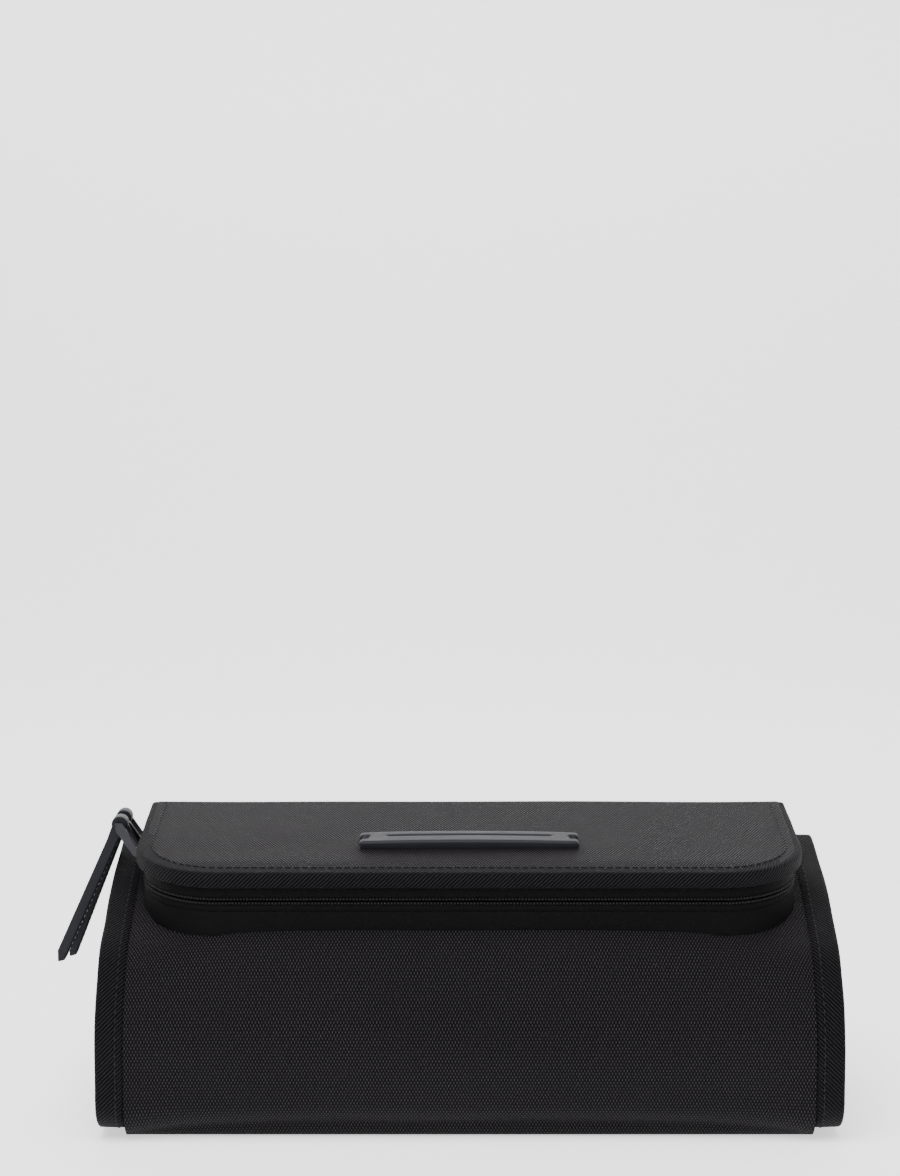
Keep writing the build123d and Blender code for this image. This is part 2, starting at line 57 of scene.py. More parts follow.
class Side(Enum):
    """The two ends of the bag."""

    LEFT = -1
    RIGHT = 1


class Weave(Enum):
    """Thread patterns a cloth can have."""

    BASKET = "basket"
    TWILL = "twill"
    PLAIN = "plain"
    NET = "net"


# ---------------------------------------------------------------- finishes


class Nodes:
    """Small helper that writes shader nodes one after another."""

    def __init__(self, name: str) -> None:
        """Start an empty material.

        Args:
            name: name of the material.
        """
        self.material = bpy.data.materials.new(name)
        self.material.use_nodes = True
        self.tree = self.material.node_tree
        self.tree.nodes.clear()
        self.shader = self.tree.nodes.new("ShaderNodeBsdfPrincipled")
        self.output = self.tree.nodes.new("ShaderNodeOutputMaterial")
        self.tree.links.new(self.shader.outputs[0], self.output.inputs[0])

    def link(self, source: bpy.types.NodeSocket, target: bpy.types.NodeSocket) -> None:
        """Join two sockets."""
        self.tree.links.new(source, target)

    def math(self, kind: str, a: object, b: object = 0.0) -> bpy.types.NodeSocket:
        """Add a maths node.

        Args:
            kind: operation name.
            a: first socket or number.
            b: second socket or number.

        Returns:
            The node's result.
        """
        node = self.tree.nodes.new("ShaderNodeMath")
        node.operation = kind
        for slot, value in zip(node.inputs, (a, b)):
            if isinstance(value, (int, float)):
                slot.default_value = value
            else:
                self.link(value, slot)
        return node.outputs[0]

    def coords(self, kind: str) -> tuple[bpy.types.NodeSocket, ...]:
        """Coordinates of the surface in metres.

        Args:
            kind: "UV" or "Object".

        Returns:
            The vector socket and its x, y and z sockets.
        """
        source = self.tree.nodes.new("ShaderNodeTexCoord")
        apart = self.tree.nodes.new("ShaderNodeSeparateXYZ")
        self.link(source.outputs[kind], apart.inputs[0])
        return source.outputs[kind], apart.outputs[0], apart.outputs[1], apart.outputs[2]

    def noise(self, vector: bpy.types.NodeSocket, scale: float, detail: float = 3.0) -> bpy.types.NodeSocket:
        """Add noise.

        Args:
            vector: coordinates.
            scale: repeats per metre.
            detail: octaves.

        Returns:
            The noise value from 0 to 1.
        """
        node = self.tree.nodes.new("ShaderNodeTexNoise")
        node.inputs["Scale"].default_value = scale
        node.inputs["Detail"].default_value = detail
        self.link(vector, node.inputs["Vector"])
        return node.outputs["Fac"]

    def ramp(self, value: bpy.types.NodeSocket, stops: Sequence[tuple[float, tuple]]) -> bpy.types.NodeSocket:
        """Map a value to colours.

        Args:
            value: what is mapped.
            stops: pairs of place and colour.

        Returns:
            The colour socket.
        """
        node = self.tree.nodes.new("ShaderNodeValToRGB")
        elements = node.color_ramp.elements
        while len(elements) < len(stops):
            elements.new(0.5)
        for element, (place, colour) in zip(elements, stops):
            element.position = place
            element.color = (*colour, 1.0)
        self.link(value, node.inputs[0])
        return node.outputs[0]

    def mix(self, factor: bpy.types.NodeSocket, a: object, b: object, blend: str = "MIX") -> bpy.types.NodeSocket:
        """Mix two colours.

        Args:
            factor: share of the second.
            a: first colour or socket.
            b: second colour or socket.
            blend: way of mixing.

        Returns:
            The mixed colour.
        """
        node = self.tree.nodes.new("ShaderNodeMix")
        node.data_type = "RGBA"
        node.blend_type = blend
        if isinstance(factor, float):
            node.inputs[0].default_value = factor
        else:
            self.link(factor, node.inputs[0])
        for slot, value in ((node.inputs[6], a), (node.inputs[7], b)):
            if isinstance(value, tuple):
                slot.default_value = (*value, 1.0)
            else:
                self.link(value, slot)
        return node.outputs[2]

    def bump(self, height: bpy.types.NodeSocket, distance: float, strength: float = 1.0) -> None:
        """Raise the surface by a height.

        Args:
            height: the height's socket.
            distance: full height in metres.
            strength: share of it.
        """
        node = self.tree.nodes.new("ShaderNodeBump")
        node.inputs["Distance"].default_value = distance
        node.inputs["Strength"].default_value = strength
        self.link(height, node.inputs["Height"])
        self.link(node.outputs[0], self.shader.inputs["Normal"])


@dataclass(frozen=True)
class Cloth:
    """A woven finish that follows a mesh's own lengths.

    Attributes:
        name: name of the finish.
        slot: the record's material slot; not used.
        weave: thread pattern.
        dark: colour between the threads.
        light: colour on top of the threads.
        pitch: distance between threads, in metres.
        relief: height of the threads, in metres.
        roughness: roughness.
        sheen: strength of the fibre sheen.
    """

    name: str
    slot: str
    weave: Weave
    dark: tuple[float, float, float]
    light: tuple[float, float, float]
    pitch: float
    relief: float
    roughness: float = 0.75
    sheen: float = 0.15

    def build(self) -> bpy.types.Material:
        """Make the material."""
        n = Nodes(self.name)
        vector, u, v, _ = n.coords("UV")
        wave = 2 * math.pi / self.pitch
        if self.weave is Weave.TWILL:
            ribs = n.math("SINE", n.math("MULTIPLY", n.math("ADD", u, v), wave))
            cross = n.math("SINE", n.math("MULTIPLY", n.math("SUBTRACT", u, v), wave * 1.9))
            height = n.math("ADD", ribs, n.math("MULTIPLY", cross, 0.25))
        else:
            across = n.math("COSINE", n.math("MULTIPLY", u, wave))
            along = n.math("COSINE", n.math("MULTIPLY", v, wave / 2))
            height = n.math("MULTIPLY", across, along)
        height = n.math("ADD", n.math("MULTIPLY", height, 0.5), 0.5)
        uneven = n.noise(vector, 900, 2)
        broad = n.noise(vector, 14, 3)
        threads = n.math("MULTIPLY", height, n.math("ADD", n.math("MULTIPLY", uneven, 0.5), 0.75))
        colour = n.ramp(threads, ((0.52, self.dark), (0.98, self.light)))
        shade = n.ramp(broad, ((0.3, (0.82, 0.82, 0.83)), (0.7, (1.0, 1.0, 1.0))))
        n.link(n.mix(1.0, colour, shade, "MULTIPLY"), n.shader.inputs["Base Color"])
        rough = n.math("ADD", n.math("MULTIPLY", uneven, 0.2), self.roughness - 0.1)
        n.link(rough, n.shader.inputs["Roughness"])
        n.shader.inputs["Sheen Weight"].default_value = self.sheen
        n.shader.inputs["Sheen Roughness"].default_value = 0.4
        n.shader.inputs["Sheen Tint"].default_value = (0.3, 0.27, 0.31, 1.0)
        n.shader.inputs["Specular IOR Level"].default_value = 0.06
        n.bump(threads, self.relief)
        if self.weave is Weave.NET:
            hole = n.math("GREATER_THAN", n.math("ABSOLUTE", n.math("SUBTRACT", height, 0.5)), 0.2)
            n.link(n.math("SUBTRACT", 1.0, n.math("MULTIPLY", hole, 0.8)), n.shader.inputs["Alpha"])
        return n.material


@dataclass(frozen=True)
class Moulded:
    """A rubber, nylon, board or metal finish.

    Attributes:
        name: name of the finish.
        slot: the record's material slot; not used.
        colour: base colour.
        roughness: roughness.
        grain: size of the surface grain, repeats per metre.
        relief: height of the grain, in metres.
        metal: metalness.
        coat: clear coat weight.
    """

    name: str
    slot: str
    colour: tuple[float, float, float]
    roughness: float
    grain: float = 1500.0
    relief: float = 0.00003
    metal: float = 0.0
    coat: float = 0.0

    def build(self) -> bpy.types.Material:
        """Make the material."""
        n = Nodes(self.name)
        vector = n.coords("Object")[0]
        fine = n.noise(vector, self.grain, 4)
        broad = n.noise(vector, 60, 3)
        worn = tuple(min(1.0, c * 1.5 + 0.008) for c in self.colour)
        n.link(n.mix(n.math("MULTIPLY", broad, 0.5), self.colour, worn), n.shader.inputs["Base Color"])
        rough = n.math("ADD", n.math("MULTIPLY", broad, 0.16), self.roughness - 0.08)
        n.link(rough, n.shader.inputs["Roughness"])
        n.shader.inputs["Metallic"].default_value = self.metal
        n.shader.inputs["Coat Weight"].default_value = self.coat
        n.shader.inputs["Specular IOR Level"].default_value = 0.14
        n.bump(fine, self.relief)
        return n.material


BALLISTIC = Cloth("ballistic_cloth", "ballistic_cloth", Weave.BASKET, (0.0018, 0.0016, 0.002),
                  (0.04, 0.0345, 0.041), 0.00122, 0.0003, 0.6, 0.01)
TWILL = Cloth("twill_tape", "twill_binding", Weave.TWILL, (0.001, 0.0009, 0.0011), (0.02, 0.018, 0.0215), 0.0016, 0.0004,
              0.65, 0.03)
BAND = Cloth("zip_band_cloth", "zip_band", Weave.PLAIN, (0.0014, 0.0012, 0.0015), (0.0055, 0.0048, 0.0058), 0.0006, 0.0001, 0.6,
             0.02)
TAFFETA = Cloth("lining_taffeta", "lining", Weave.PLAIN, (0.075, 0.075, 0.08), (0.14, 0.14, 0.15), 0.0005, 0.00006, 0.55)
NET = Cloth("pocket_net", "mesh", Weave.NET, (0.012, 0.012, 0.013), (0.05, 0.05, 0.055), 0.0022, 0.0002)
ELASTIC = Cloth("ribbed_elastic", "elastic", Weave.TWILL, (0.01, 0.01, 0.011), (0.05, 0.05, 0.055), 0.0016, 0.0003)
THREAD = Moulded("sewing_thread", "twill_binding", (0.008, 0.0072, 0.009), 0.6, 4000, 0.00004)
NYLON = Moulded("coil_nylon", "zip_coil", (0.004, 0.0037, 0.0045), 0.55)
RUBBER = Moulded("soft_touch_rubber", "soft_rubber", (0.007, 0.0072, 0.0105), 0.44, 2200, 0.000025, 0.0, 0.0)
BLACK_METAL = Moulded("black_zinc", "black_metal", (0.02, 0.02, 0.024), 0.32, 900, 0.00001, 0.85, 0.2)
HOOK_METAL = Moulded("hook_steel", "hook_metal", (0.05, 0.05, 0.055), 0.28, 700, 0.00001, 0.9)
BOARD = Moulded("stiff_board", "stiff_board", (0.15, 0.15, 0.15), 0.8)
FOAM = Moulded("open_foam", "foam", (0.2, 0.2, 0.2), 0.95, 800, 0.0003)
_made: dict[str, bpy.types.Material] = {}


def material_of(finish: Cloth | Moulded) -> bpy.types.Material:
    """Material of a finish, made once."""
    if finish.name not in _made:
        _made[finish.name] = finish.build()
    return _made[finish.name]


# ---------------------------------------------------------------- shared geometry


def round_outline(corners: Sequence[Point2], radii: Sequence[float], step: float = 2.0) -> list[Point2]:
    """Closed outline with round corners, as evenly spaced points.

    Args:
        corners: the corners, in order.
        radii: the radius at each corner.
        step: spacing of the points.

    Returns:
        The points, the first not repeated.
    """
    count = len(corners)
    raw: list[Vector] = []
    for i, radius in enumerate(radii):
        here = Vector(corners[i])
        back = (Vector(corners[i - 1]) - here).normalized()
        ahead = (Vector(corners[(i + 1) % count]) - here).normalized()
        half = back.angle(ahead) / 2
        reach = radius / math.tan(half)
        start, end = here + back * reach, here + ahead * reach
        middle = here + (back + ahead).normalized() * (radius / math.sin(half))
        pieces = max(2, int(radius * (math.pi - 2 * half) / step) + 1)
        for k in range(pieces + 1):
            chord = start.lerp(end, k / pieces) - middle
            raw.append(middle + chord.normalized() * radius)
    return even_points([tuple(p) for p in raw], step, True)


def even_points(points: Sequence[Sequence[float]], step: float, closed: bool) -> list[tuple]:
    """Resample a line of points at an even spacing.

    Args:
        points: the points.
        step: wanted spacing.
        closed: whether the last joins the first.

    Returns:
        The new points.
    """
    line = [Vector(p) for p in points] + ([Vector(points[0])] if closed else [])
    lengths = [0.0]
    for a, b in zip(line, line[1:]):
        lengths.append(lengths[-1] + (b - a).length)
    count = max(2, round(lengths[-1] / step))
    found: list[tuple] = []
    at = 0
    for k in range(count if closed else count + 1):
        want = lengths[-1] * k / count
        while at < len(line) - 2 and lengths[at + 1] < want:
            at += 1
        span = max(lengths[at + 1] - lengths[at], 1e-9)
        found.append(tuple(line[at].lerp(line[at + 1], (want - lengths[at]) / span)))
    return found


def normals_out(points: Sequence[Point2], closed: bool) -> list[Vector]:
    """Normals to the left of a line of 2-D points.

    Args:
        points: the points.
        closed: whether the line closes.

    Returns:
        One unit vector for each point.
    """
    last = len(points) - 1
    found = []
    for i in range(len(points)):
        before = Vector(points[i - 1] if closed or i else points[0])
        after = Vector(points[(i + 1) % len(points)] if closed or i < last else points[last])
        run = (after - before).normalized()
        found.append(Vector((-run.y, run.x)))
    return found


def make_piece(name: str, verts: Sequence[Vector], faces: Sequence[Sequence[int]], finish: Cloth | Moulded,
               uvs: Sequence[Point2] | None = None, smooth: bool = True) -> bpy.types.Object:
    """Make an object from points in millimetres.

    Args:
        name: name of the piece.
        verts: its points, in millimetres.
        faces: its faces.
        finish: its finish.
        uvs: lengths along the cloth for each point, in millimetres.
        smooth: whether it is shaded smooth.

    Returns:
        The object.
    """
    mesh = bpy.data.meshes.new(name)
    mesh.from_pydata([v * MM for v in map(Vector, verts)], [], faces)
    if uvs is not None:
        layer = mesh.uv_layers.new(name="lengths")
        for loop in mesh.loops:
            u, v = uvs[loop.vertex_index]
            layer.data[loop.index].uv = (u * MM, v * MM)
    mesh.validate()
    mesh.shade_smooth() if smooth else mesh.shade_flat()
    piece = bpy.data.objects.new(name, mesh)
    bpy.context.scene.collection.objects.link(piece)
    mesh.materials.append(material_of(finish))
    return piece


def grid_piece(name: str, rows: Sequence[Row], finish: Cloth | Moulded, closed: bool = False,
               flip: bool = False, uvs: Sequence[Sequence[Point2]] | None = None) -> bpy.types.Object:
    """Make a piece from rows of points.

    Args:
        name: name of the piece.
        rows: rows of equal length.
        finish: its finish.
        closed: whether the last row joins the first.
        flip: whether the faces are turned over.
        uvs: lengths for each point; measured along the grid when left out.

    Returns:
        The object.
    """
    across = len(rows[0])
    use = list(rows) + ([rows[0]] if closed else [])
    if uvs is None:
        middle = across // 2
        v, found = 0.0, []
        for r, row in enumerate(use):
            if r:
                v += (row[middle] - use[r - 1][middle]).length
            u, line = 0.0, []
            for c, point in enumerate(row):
                u += (point - row[c - 1]).length if c else 0.0
                line.append((u, v))
            found.append(line)
        uvs = found
    verts = [p for row in use for p in row]
    flat = [uv for row in uvs for uv in row]
    faces = []
    for r in range(len(use) - 1):
        for c in range(across - 1):
            a = r * across + c
            quad = (a, a + 1, a + across + 1, a + across)
            faces.append(quad[::-1] if flip else quad)
    piece = make_piece(name, verts, faces, finish, flat)
    if closed:
        weld = piece.modifiers.new("weld", "WELD")
        weld.merge_threshold = 1e-6
        apply_modifiers(piece)
    return piece


def apply_modifiers(piece: bpy.types.Object) -> None:
    """Turn a piece's modifiers into plain mesh."""
    depsgraph = bpy.context.evaluated_depsgraph_get()
    mesh = bpy.data.meshes.new_from_object(piece.evaluated_get(depsgraph))
    piece.modifiers.clear()
    piece.data = mesh


def thicken(piece: bpy.types.Object, thickness: float, offset: float = -1.0) -> None:
    """Give a sheet a thickness.

    Args:
        piece: the sheet.
        thickness: in millimetres.
        offset: -1 grows inwards, 1 outwards.
    """
    solid = piece.modifiers.new("thickness", "SOLIDIFY")
    solid.thickness = thickness * MM
    solid.offset = offset
    apply_modifiers(piece)


def soften(piece: bpy.types.Object, width: float, segments: int = 3) -> None:
    """Round a piece's sharp edges.

    Args:
        piece: the piece.
        width: width of the rounding in millimetres.
        segments: how many steps it has.
    """
    bevel = piece.modifiers.new("edges", "BEVEL")
    bevel.width = width * MM
    bevel.segments = segments
    bevel.limit_method = "ANGLE"
    bevel.angle_limit = math.radians(35)
    bevel.harden_normals = False
    apply_modifiers(piece)


def place(piece: bpy.types.Object, body: str, finish: Cloth | Moulded, *nodes: str) -> bpy.types.Object:
    """Let a piece ride on a body, and stand for its CAD nodes.

    Args:
        piece: the piece.
        body: the body it moves with.
        finish: not used.
        nodes: the CAD nodes it stands for.

    Returns:
        The piece.
    """
    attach(piece, body)
    if nodes:
        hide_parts(*nodes)
    LOG.info("%s rides on %s", piece.name, body)
    return piece


def cut_by(piece: bpy.types.Object, outline: Sequence[Point2], low: float, high: float) -> None:
    """Cut a hole down through a piece.

    Args:
        piece: the piece.
        outline: the hole's outline as (x, y).
        low: bottom of the cut.
        high: top of the cut.
    """
    count = len(outline)
    verts = [Vector((x, y, z)) for z in (low, high) for x, y in outline]
    faces = [(i, (i + 1) % count, (i + 1) % count + count, i + count) for i in range(count)]
    faces += [tuple(range(count))[::-1], tuple(range(count, 2 * count))]
    knife = make_piece("knife", verts, faces, BOARD, smooth=False)
    cut = piece.modifiers.new("cut", "BOOLEAN")
    cut.operation = "DIFFERENCE"
    cut.solver = "EXACT"
    cut.object = knife
    apply_modifiers(piece)
    bpy.data.objects.remove(knife)


def stitches(name: str, line: Sequence[Vector], finish: Moulded, length: float = 2.3, gap: float = 0.9,
             radius: float = 0.28) -> bpy.types.Object:
    """A row of sewn stitches lying along a line.

    Args:
        name: name of the piece.
        line: the line they follow, in millimetres.
        finish: thread finish.
        length: length of a stitch.
        gap: space between stitches.
        radius: thickness of the thread.

    Returns:
        One object with every stitch in it.
    """
    dense = [Vector(p) for p in even_points([tuple(p) for p in line], 0.4, False)]
    verts: list[Vector] = []
    faces: list[tuple[int, ...]] = []
    sides = 6
    stride, take = max(2, round((length + gap) / 0.4)), max(1, round(length / 0.4))
    for start in range(0, len(dense) - take, stride):
        a, b = dense[start], dense[start + take]
        along = (b - a).normalized()
        up = along.orthogonal().normalized()
        side = along.cross(up)
        base = len(verts)
        for place_on, wide in ((0.0, 0.3), (0.18, 1.0), (0.82, 1.0), (1.0, 0.3)):
            centre = a.lerp(b, place_on)
            for k in range(sides):
                turn = 2 * math.pi * k / sides
                verts.append(centre + (up * math.cos(turn) + side * math.sin(turn)) * radius * wide)
        for ring in range(3):
            for k in range(sides):
                p, q = base + ring * sides + k, base + ring * sides + (k + 1) % sides
                faces.append((p, q, q + sides, p + sides))
        faces.append(tuple(base + k for k in reversed(range(sides))))
        faces.append(tuple(base + 3 * sides + k for k in range(sides)))
    return make_piece(name, verts, faces, finish)


# ---------------------------------------------------------------- the bag's own shape


@dataclass
class Shape:
    """Sizes of the whole bag in millimetres, shared by every sub-assembly."""

    end_x: float = 129.2
    flange: float = 10.8
    front: float = -52.0
    back: float = 52.0
    mouth_half: float = 126.0
    mouth_front: float = -33.0
    mouth_back: float = 46.0
    mouth_radius: float = 30.0
    zip_front: float = 88.0
    zip_back: float = 100.5
    lid_front_z: float = 94.0
    lid_back_z: float = 104.5
    lid_front: float = -34.0
    lid_back: float = 51.0

    def outline(self, foot: float = 0.0, step: float = 1.6) -> list[Point2]:
        """Side outline as (y, z), from the front foot up and over to the back.

        Args:
            foot: height of its lower edge.
            step: spacing of the points.

        Returns:
            The points.
        """
        corners = [(self.front, foot), (self.front, 46.0), (self.front + 17, 69.0), (self.front + 57, 88.0),
                   (self.back, 99.0), (self.back, foot)]
        return round_outline(corners, (14, 40, 28, 100, 6, 10), step)

    def fullness(self, x: float, y: float, z: float) -> float:
        """How far the filled bag stands out from its end outline.

        Args:
            x: place across.
            y: depth.
            z: height.

        Returns:
            The distance in millimetres, inwards when negative.
        """
        across = 1 - min(1.0, abs(x) / self.end_x) ** 5
        if y > 20 or z < 0.5:
            return 0.0
        swell = 6.5 * smooth(52, 74, z) * (1 - smooth(-12, 18, y))
        tuck = -4.5 * (1 - smooth(0, 32, z)) * (1 - smooth(-46, -30, y)) * smooth(0, 3, z)
        belly = 1.0 * smooth(24, 48, z) * (1 - smooth(-40, -20, y))
        return (swell + tuck + belly) * across

    def zip_z(self, y: float) -> float:
        """Height of the zip's middle line at a depth."""
        return self.zip_back + (y - self.lid_back) * (self.zip_back - self.zip_front) / (self.lid_back - self.lid_front)

    def lid_z(self, y: float) -> float:
        """Height of the lid's underside at a depth."""
        rise = (self.lid_back_z - self.lid_front_z) / (self.lid_back - self.lid_front)
        return self.lid_back_z + (y - self.lid_back) * rise

    @property
    def lid_up(self) -> Vector:
        """Direction out of the lid."""
        rise = (self.lid_back_z - self.lid_front_z) / (self.lid_back - self.lid_front)
        return Vector((0, -rise, 1)).normalized()

    def u_path(self, half: float, front: float, back: float, radius: float, step: float = 1.5) -> list[Point2]:
        """Path round the left side, front and right side as (x, y).

        Args:
            half: half the width.
            front: depth of the front run.
            back: depth where both sides end.
            radius: corner radius.
            step: spacing.

        Returns:
            The points from the back left to the back right.
        """
        points: list[Point2] = [(-half, back)]
        for centre, start in ((-half + radius, math.pi), (half - radius, 1.5 * math.pi)):
            for k in range(25):
                turn = start + math.pi / 2 * k / 24
                points.append((centre + radius * math.cos(turn), front + radius + radius * math.sin(turn)))
        points.append((half, back))
        return even_points(points, step, False)


def smooth(low: float, high: float, value: float) -> float:
    """Smooth step from 0 at low to 1 at high."""
    t = min(1.0, max(0.0, (value - low) / (high - low)))
    return t * t * (3 - 2 * t)


def ripple(point: Vector, size: float, amount: float) -> float:
    """Soft unevenness of cloth.

    Args:
        point: place in millimetres.
        size: length of the waves.
        amount: greatest height.

    Returns:
        The height.
    """
    return noise.noise(point / size) * amount


@dataclass
class BagBody:
    """The cloth body: wrap, ends, bound seams, lining, mouth collar and lower half of the zip."""

    shape: Shape
    wall: float = 1.5
    body: str = "bag"

    def tube(self, name: str, inset: float, finish: Cloth, full: bool, flip: bool) -> bpy.types.Object:
        """A tube of cloth round the side outline with the mouth cut out.

        Args:
            name: name of the piece.
            inset: distance inside the outline.
            finish: its cloth.
            full: whether it swells like a filled bag.
            flip: whether its faces look inwards.

        Returns:
            The tube before it is thickened.
        """
        line = self.shape.outline()
        out = normals_out(line, True)
        half = self.shape.end_x - inset
        columns = [half * math.sin(math.pi / 2 * k / 44) for k in range(-44, 45)]
        rows = []
        for (y, z), normal in zip(line, out):
            row = []
            for x in columns:
                grow = self.shape.fullness(x, y, z)
                grow = grow if full else min(0.0, grow)
                soft = ripple(Vector((x, y * 2, z * 2)), 42, 0.5) if full and z > 4 and y < 45 else 0.0
                soft *= 1 - (abs(x) / self.shape.end_x) ** 4
                shift = normal * (grow + soft - inset)
                row.append(Vector((x, y + shift.x, max(z + shift.y, 0.05))))
            rows.append(row)
        piece = grid_piece(name, rows, finish, closed=True, flip=flip)
        return piece

    def mouth(self, grow: float = 0.0) -> list[Point2]:
        """Mouth outline as a closed line."""
        s = self.shape
        return s.u_path(s.mouth_half + grow, s.mouth_front - grow, s.mouth_back, s.mouth_radius + grow, 3.0)

    def build_wrap(self) -> None:
        """Outer cloth round the front, base, back and top margins."""
        wrap = self.tube("wrap_cloth", 0.0, BALLISTIC, True, False)
        thicken(wrap, self.wall)
        cut_by(wrap, self.mouth(), 55, 125)
        place(wrap, self.body, BALLISTIC, "wrap_panel")

    def build_lining(self) -> None:
        """Lining inside the body."""
        tube = self.tube("body_lining_cloth", 4.0, TAFFETA, False, True)
        thicken(tube, 0.6, 1.0)
        cut_by(tube, self.mouth(-1.6), 55, 125)
        place(tube, self.body, TAFFETA, "body_lining")

    def end_rows(self, x: float, inset: float, bulge: float) -> list[Row]:
        """Rows of a flat end that fills the side outline.

        Args:
            x: where the end stands.
            inset: distance inside the outline.
            bulge: how far its middle swells, with a sign.

        Returns:
            Rows from the bottom up.
        """
        line = self.shape.outline(step=0.8)
        low = min(z for _, z in line) + inset
        high = max(z for _, z in line) - inset
        rows = []
        for r in range(49):
            z = low + (high - low) * (0.5 - 0.5 * math.cos(math.pi * r / 48))
            near = [y for y, h in line if abs(h - z) < 1.0]
            first, last = min(near) + inset, max(near) - inset
            row = []
            for c in range(49):
                t = 0.5 - 0.5 * math.cos(math.pi * c / 48)
                y = first + (last - first) * t
                lift = bulge * math.sin(math.pi * t) ** 0.7 * math.sin(math.pi * r / 48) ** 0.7
                row.append(Vector((x + lift + ripple(Vector((x, y, z)), 30, 0.3), y, z)))
            rows.append(row)
        return rows

    def build_end(self, side: Side) -> None:
        """One end panel with its lining and its bound seam.

        Args:
            side: which end.
        """
        sign, name = side.value, side.name.lower()
        s = self.shape
        rows = self.end_rows(sign * (s.end_x - 0.7), 1.7, sign * 2.2)
        uvs = [[(p.y, p.z) for p in row] for row in rows]
        panel = grid_piece(f"end_cloth_{name}", rows, BALLISTIC, flip=side is Side.LEFT, uvs=uvs)
        thicken(panel, 1.0)
        place(panel, self.body, BALLISTIC, f"end_panel_{name}")
        rows = self.end_rows(sign * (s.end_x - 2.6), 2.2, 0.0)
        inner = grid_piece(f"end_lining_cloth_{name}", rows, TAFFETA, flip=side is Side.RIGHT)
        place(inner, self.body, TAFFETA, f"end_lining_{name}")
        self.build_flange(side)

    def build_flange(self, side: Side) -> None:
        """Bound seam that stands out round one end, with its row of stitches.

        Args:
            side: which end.
        """
        sign, name = side.value, side.name.lower()
        s = self.shape
        line = s.outline(foot=3.0, step=1.2)
        out = normals_out(line, True)
        tip = s.flange
        section = [(-0.6, -0.5), (0.5, -0.45), (0.9, 0.1), (3.0, 0.2), (6.0, 0.12), (8.6, 0.1)]
        section += [(tip - 1.4 + 1.4 * math.sin(a), -1.3 + 1.4 * math.cos(a)) for a in (0.3, 0.8, 1.3, 1.85, 2.35, 2.85)]
        section += [(8.6, -2.8), (5.0, -2.85), (1.2, -2.8), (0.9, -2.3), (-0.6, -2.3)]
        rows, thread = [], []
        for i, ((y, z), normal) in enumerate(zip(line, out)):
            wave = ripple(Vector((sign * 300.0, y, z)), 16, 0.35)
            row = []
            for d, t in section:
                lean = wave * max(0.0, d / tip)
                row.append(Vector((sign * (s.end_x + d + 0.25 * lean), y + normal.x * (t + lean), z + normal.y * (t + lean))))
            rows.append(row)
            lean = wave * 0.3
            thread.append(Vector((sign * (s.end_x + 3.0), y + normal.x * (0.25 + lean), z + normal.y * (0.25 + lean))))
        flange = grid_piece(f"bound_seam_{name}", rows, TWILL, closed=True, flip=side is Side.RIGHT)
        place(flange, self.body, TWILL, f"end_flange_{name}")
        sewn = stitches(f"bound_seam_stitches_{name}", thread, THREAD)
        place(sewn, self.body, THREAD)

    def band_rows(self, low: Callable[[float], float], high: Callable[[float], float], inset: float, puff: float,
                  count: int = 9) -> list[Row]:
        """Rows of a standing band round the mouth.

        Args:
            low: lower height at a depth.
            high: upper height at a depth.
            inset: distance inside the mouth's outline.
            puff: how far the middle of the band swells.
            count: points up the band.

        Returns:
            One row for each place along the band.
        """
        s = self.shape
        path = s.u_path(s.mouth_half - inset, s.mouth_front + inset, s.mouth_back, s.mouth_radius - inset)
        out = normals_out(path, False)
        rows = []
        for (x, y), normal in zip(path, out):
            bottom, top = low(y), high(y)
            row = []
            for k in range(count):
                t = k / (count - 1)
                grow = puff * math.sin(math.pi * t) - 0.0
                row.append(Vector((x - normal.x * grow, y - normal.y * grow, bottom + (top - bottom) * t)))
            rows.append(row)
        return rows

    def build_mouth(self) -> None:
        """Collar, lower zip tape and the lower row of teeth."""
        s = self.shape
        under = (lambda y: 62 + 28 * smooth(-33, 40, y))
        rows = self.band_rows(under, lambda y: s.zip_z(y) - 2.6, 0.3, 0.7, 12)
        collar = grid_piece("mouth_collar_cloth", rows, BAND, flip=True)
        thicken(collar, 1.1, -1.0)
        place(collar, self.body, BAND, "mouth_collar")
        rows = self.band_rows(lambda y: s.zip_z(y) - 3.8, lambda y: s.zip_z(y) - 1.2, 0.1, 0.15, 5)
        tape = grid_piece("zip_tape_lower_cloth", rows, BAND, flip=True)
        thicken(tape, 0.7, -1.0)
        place(tape, self.body, BAND, "zip_tape_lower")
        teeth = zip_teeth("zip_coil_lower_teeth", s, -1, 0.0)
        place(teeth, self.body, NYLON, "zip_coil_lower")

    def build_pocket(self) -> None:
        """Net pocket on the back wall and its elastic edge."""
        face, half = 42.1, 107.6
        rows = []
        for r in range(27):
            z = 14.4 + 51.2 * r / 26
            row = []
            for c in range(81):
                x = -half + 2 * half * c / 80
                edge = smooth(0, 6, half - abs(x)) * smooth(0, 4, z - 14.4)
                y = 47.3 - (47.3 - face) * edge + 0.35 * math.sin(x / 3.4) * smooth(52, 66, z)
                row.append(Vector((x, y, z)))
            rows.append(row)
        net = grid_piece("back_pocket_net", rows, NET, flip=True)
        place(net, self.body, NET, "back_pocket")
        place(gathered_trim("back_pocket_elastic", half, face - 0.8, 60.2, 66.0), self.body, ELASTIC, "back_pocket_trim")


